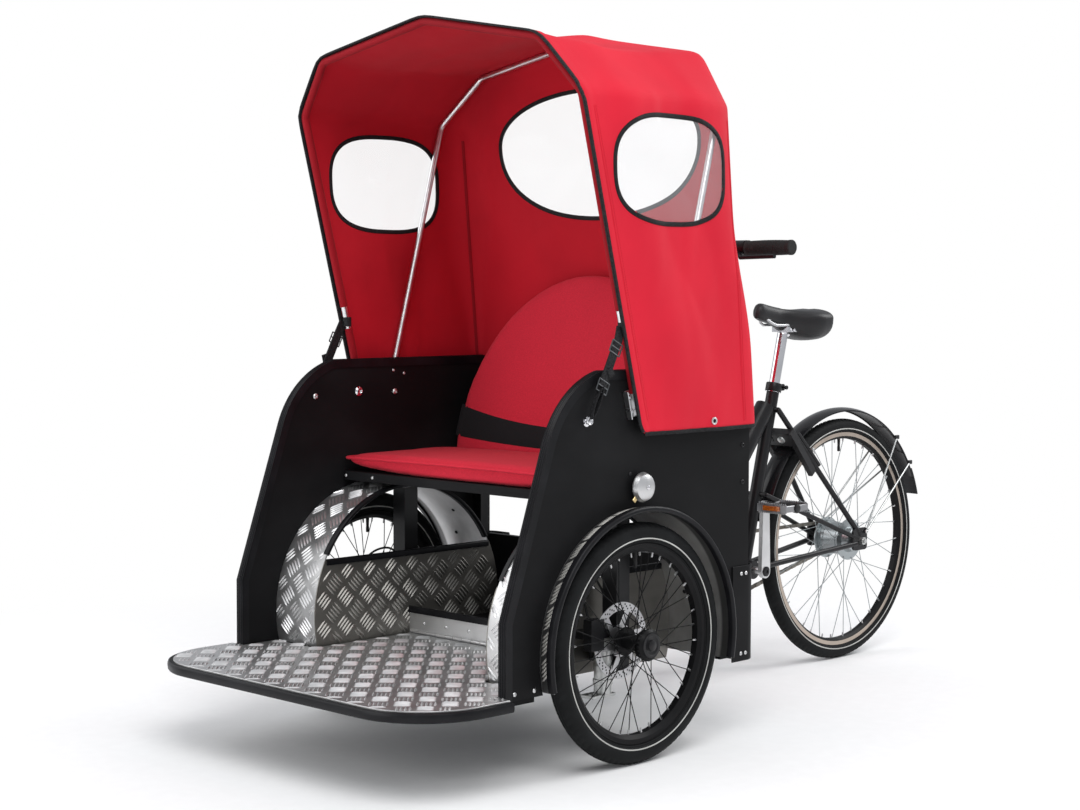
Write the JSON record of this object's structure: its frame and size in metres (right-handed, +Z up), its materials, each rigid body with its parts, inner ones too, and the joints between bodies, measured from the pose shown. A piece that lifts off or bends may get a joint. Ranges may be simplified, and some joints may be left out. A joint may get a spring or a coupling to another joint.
{
  "type": "passenger cargo tricycle",
  "caption": "Pedal cargo tricycle: hooded two-seat passenger box on the front wheels, steered about a kingpin by a push bar, with a pedalled rear frame and wheel.",
  "frame": {"origin": "on the ground, at the middle of the vehicle's length and width", "axes": "+Z up, -Y forward, +X to the vehicle's left"},
  "size_m": [0.936, 2.2074, 1.548],
  "materials": {
    "black_board": "black film-faced plywood",
    "chequer_plate": "five-bar chequer plate",
    "plain_sheet": "plain sheet",
    "black_paint": "black powder coat",
    "zinc": "zinc plated",
    "chrome": "polished",
    "bow_tube": "drawn tube",
    "hood_cloth": "coated woven cloth",
    "window_film": "clear film",
    "cushion_cloth": "woven upholstery",
    "webbing": "flat webbing",
    "tyre": "road tread",
    "black_rim": "black anodised",
    "alloy_rim": "brake track",
    "black_hub": "black anodised",
    "alloy_hub": "satin",
    "rotor_steel": "ground",
    "grip_rubber": "ribbed",
    "saddle_skin": "smooth vinyl",
    "pedal_plastic": "moulded",
    "guard_plastic": "gloss",
    "chain_steel": "oiled"
  },
  "bodies": {
    "cabin": {"side_panel_left": "black_board", "side_panel_right": "black_board", "footboard": "black_board", "rear_floor": "black_board", "rear_lower_panel": "black_board", "rear_upper_panel": "black_board", "seat_board": "black_board", "backrest_board": "black_board", "footboard_plate": "chequer_plate", "wheel_arches": "chequer_plate", "well_walls": "chequer_plate", "threshold_riser": "plain_sheet", "front_frame": "black_paint", "rear_posts": "black_paint", "brake_calipers": "black_paint", "handlebar": "black_paint", "brake_levers": "black_paint", "kingpin": "zinc", "axle_carriers": "zinc", "bell": "chrome", "hood_front_bow": "bow_tube", "hood_rear_bow": "bow_tube", "hood_roof": "hood_cloth", "hood_rear": "hood_cloth", "hood_side_left": "hood_cloth", "hood_side_right": "hood_cloth", "hood_windows": "window_film", "seat_cushion": "cushion_cloth", "backrest_cushion": "cushion_cloth", "hood_straps": "webbing", "grips": "grip_rubber"},
    "front_wheel_left": {"front_tyre_left": "tyre", "front_rim_left": "black_rim", "front_hub_left": "black_hub", "front_rotor_left": "rotor_steel"},
    "front_wheel_right": {"front_tyre_right": "tyre", "front_rim_right": "black_rim", "front_hub_right": "black_hub", "front_rotor_right": "rotor_steel"},
    "rear_frame": {"main_beam": "black_paint", "seat_tube": "black_paint", "bottom_bracket": "black_paint", "chain_stays": "black_paint", "mid_stays": "black_paint", "seat_stays": "black_paint", "dropouts": "black_paint", "ring_lock": "black_paint", "rim_brake": "black_paint", "rear_axle": "zinc", "mudguard_stays": "zinc", "seat_post": "chrome", "saddle": "saddle_skin", "rear_mudguard": "guard_plastic", "chain": "chain_steel"},
    "rear_wheel": {"rear_tyre": "tyre", "rear_rim": "alloy_rim", "rear_hub": "alloy_hub"},
    "crank": {"crankset": "alloy_hub"},
    "pedal_left": {"pedal_left": "pedal_plastic"},
    "pedal_right": {"pedal_right": "pedal_plastic"}
  },
  "joints": [
    {"name": "steering", "type": "hinge", "parent": "cabin", "child": "rear_frame", "pos_m": [0, -0.42375, 0.131], "axis": [0, 0, 1], "range_deg": [-40, 40]},
    {"name": "front_left_spin", "type": "hinge", "parent": "cabin", "child": "front_wheel_left", "pos_m": [0.423, -0.48375, 0.25], "axis": [1, 0, 0], "continuous": true},
    {"name": "front_right_spin", "type": "hinge", "parent": "cabin", "child": "front_wheel_right", "pos_m": [-0.423, -0.48375, 0.25], "axis": [1, 0, 0], "continuous": true},
    {"name": "rear_spin", "type": "hinge", "parent": "rear_frame", "child": "rear_wheel", "pos_m": [0, 0.78625, 0.3175], "axis": [1, 0, 0], "continuous": true},
    {"name": "crank_spin", "type": "hinge", "parent": "rear_frame", "child": "crank", "pos_m": [0, 0.39125, 0.275], "axis": [1, 0, 0], "continuous": true},
    {"name": "pedal_left_spin", "type": "hinge", "parent": "crank", "child": "pedal_left", "pos_m": [0.12, 0.39125, 0.44], "axis": [1, 0, 0], "continuous": true},
    {"name": "pedal_right_spin", "type": "hinge", "parent": "crank", "child": "pedal_right", "pos_m": [-0.12, 0.39125, 0.11], "axis": [1, 0, 0], "continuous": true}
  ]
}
